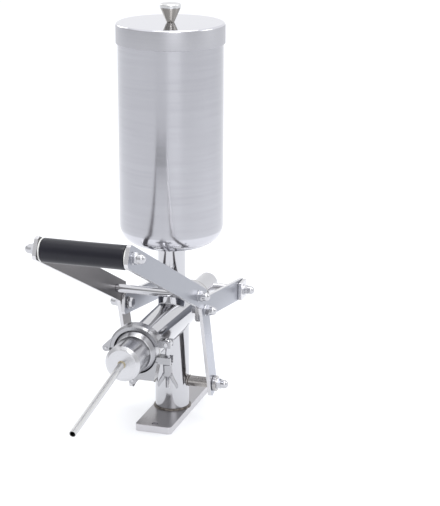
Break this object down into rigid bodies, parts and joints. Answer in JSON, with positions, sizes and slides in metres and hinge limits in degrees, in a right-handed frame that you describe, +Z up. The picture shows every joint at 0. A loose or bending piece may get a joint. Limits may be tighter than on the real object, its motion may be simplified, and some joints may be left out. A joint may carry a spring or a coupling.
{
  "type": "churro filling machine",
  "caption": "Bench-top lever filler for churros: tall lidded hopper over a piston cylinder with a clamped long nozzle, worked by a two-plate lever with a rubber grip.",
  "frame": {"origin": "where the column's axis meets the underside of the base plate", "axes": "+Z up along the column and the hopper, +Y to the back along the piston's axis, the nozzle points to -Y, +X to the right seen from the front"},
  "size_m": [0.1646, 0.539, 0.58],
  "materials": {
    "satin_steel": "satin",
    "bright_steel": "polished",
    "polished_steel": "polished",
    "brushed_hopper": "brushed",
    "lid_steel": "brushed rim, mirror top",
    "turned_steel": "turned",
    "tube_steel": "bright drawn",
    "cast_steel": "polished cast",
    "plate_steel": "bead-blasted",
    "white_plastic": "matte",
    "white_gasket": "matte",
    "black_rubber": "matte",
    "grip_rubber": "matte"
  },
  "bodies": {
    "frame": {"base_plate": "satin_steel", "column": "satin_steel", "lower_cross_shaft": "satin_steel", "lower_shaft_washers": "satin_steel", "lower_shaft_nuts": "bright_steel", "cylinder_tube": "polished_steel", "rear_cap": "satin_steel", "rod_seal": "black_rubber", "front_ferrule": "polished_steel", "hopper_neck": "polished_steel", "hopper_body": "brushed_hopper", "nozzle_gasket": "white_gasket", "nozzle_cup": "turned_steel", "nozzle_tube": "tube_steel", "clamp_top_jaw": "cast_steel", "clamp_side_link": "cast_steel", "clamp_bottom_jaw": "cast_steel", "clamp_hinge_pins": "bright_steel", "clamp_ear_pin": "bright_steel"},
    "lid": {"lid_cover": "lid_steel", "lid_knob": "bright_steel", "lid_screw": "bright_steel"},
    "lever": {"lever_plate_left": "plate_steel", "lever_plate_right": "plate_steel", "crossbar": "polished_steel", "pivot_bolts": "bright_steel", "pivot_washers": "satin_steel", "handle_rod": "satin_steel", "grip_collars": "white_plastic", "lever_cap_nuts": "bright_steel"},
    "grip": {"grip_sleeve": "grip_rubber"},
    "con_rods": {"con_rod_left": "plate_steel", "con_rod_right": "plate_steel"},
    "piston": {"piston_body": "white_plastic", "piston_seals": "black_rubber", "piston_rod": "polished_steel", "rear_cross_pin": "satin_steel", "cross_pin_washers": "satin_steel", "cross_pin_bosses": "satin_steel", "cross_pin_nuts": "bright_steel"},
    "swing_bolt": {"swing_bolt": "bright_steel"},
    "wing_nut": {"wing_nut": "cast_steel"}
  },
  "joints": [
    {"name": "lid_lift", "type": "slide", "parent": "frame", "child": "lid", "axis": [0, 0, 1], "range_m": [0, 0.06]},
    {"name": "lever_turn", "type": "hinge", "parent": "frame", "child": "lever", "pos_m": [0, 0, 0.049], "axis": [1, 0, 0], "range_deg": [-10, 15]},
    {"name": "con_rods_turn", "type": "hinge", "parent": "lever", "child": "con_rods", "pos_m": [0, -0.038, 0.1687], "axis": [1, 0, 0], "range_deg": [-11.6, 7.75]},
    {"name": "piston_slide", "type": "slide", "parent": "frame", "child": "piston", "axis": [0, 1, 0], "range_m": [-0.0292, 0.0195]},
    {"name": "grip_turn", "type": "hinge", "parent": "lever", "child": "grip", "pos_m": [0, -0.322, 0.3245], "axis": [1, 0, 0], "continuous": true},
    {"name": "swing_bolt_out", "type": "hinge", "parent": "frame", "child": "swing_bolt", "pos_m": [0.0425, -0.144, 0.155], "axis": [0, -1, 0], "range_deg": [0, 70]},
    {"name": "wing_nut_turn", "type": "hinge", "parent": "swing_bolt", "child": "wing_nut", "pos_m": [0.0425, -0.144, 0.11], "axis": [0, 0, 1], "continuous": true}
  ],
  "couplings": [
    {"joint": "con_rods_turn", "follows": "lever_turn", "ratio": -0.77},
    {"joint": "piston_slide", "follows": "lever_turn", "m_per_rad": -0.111}
  ]
}
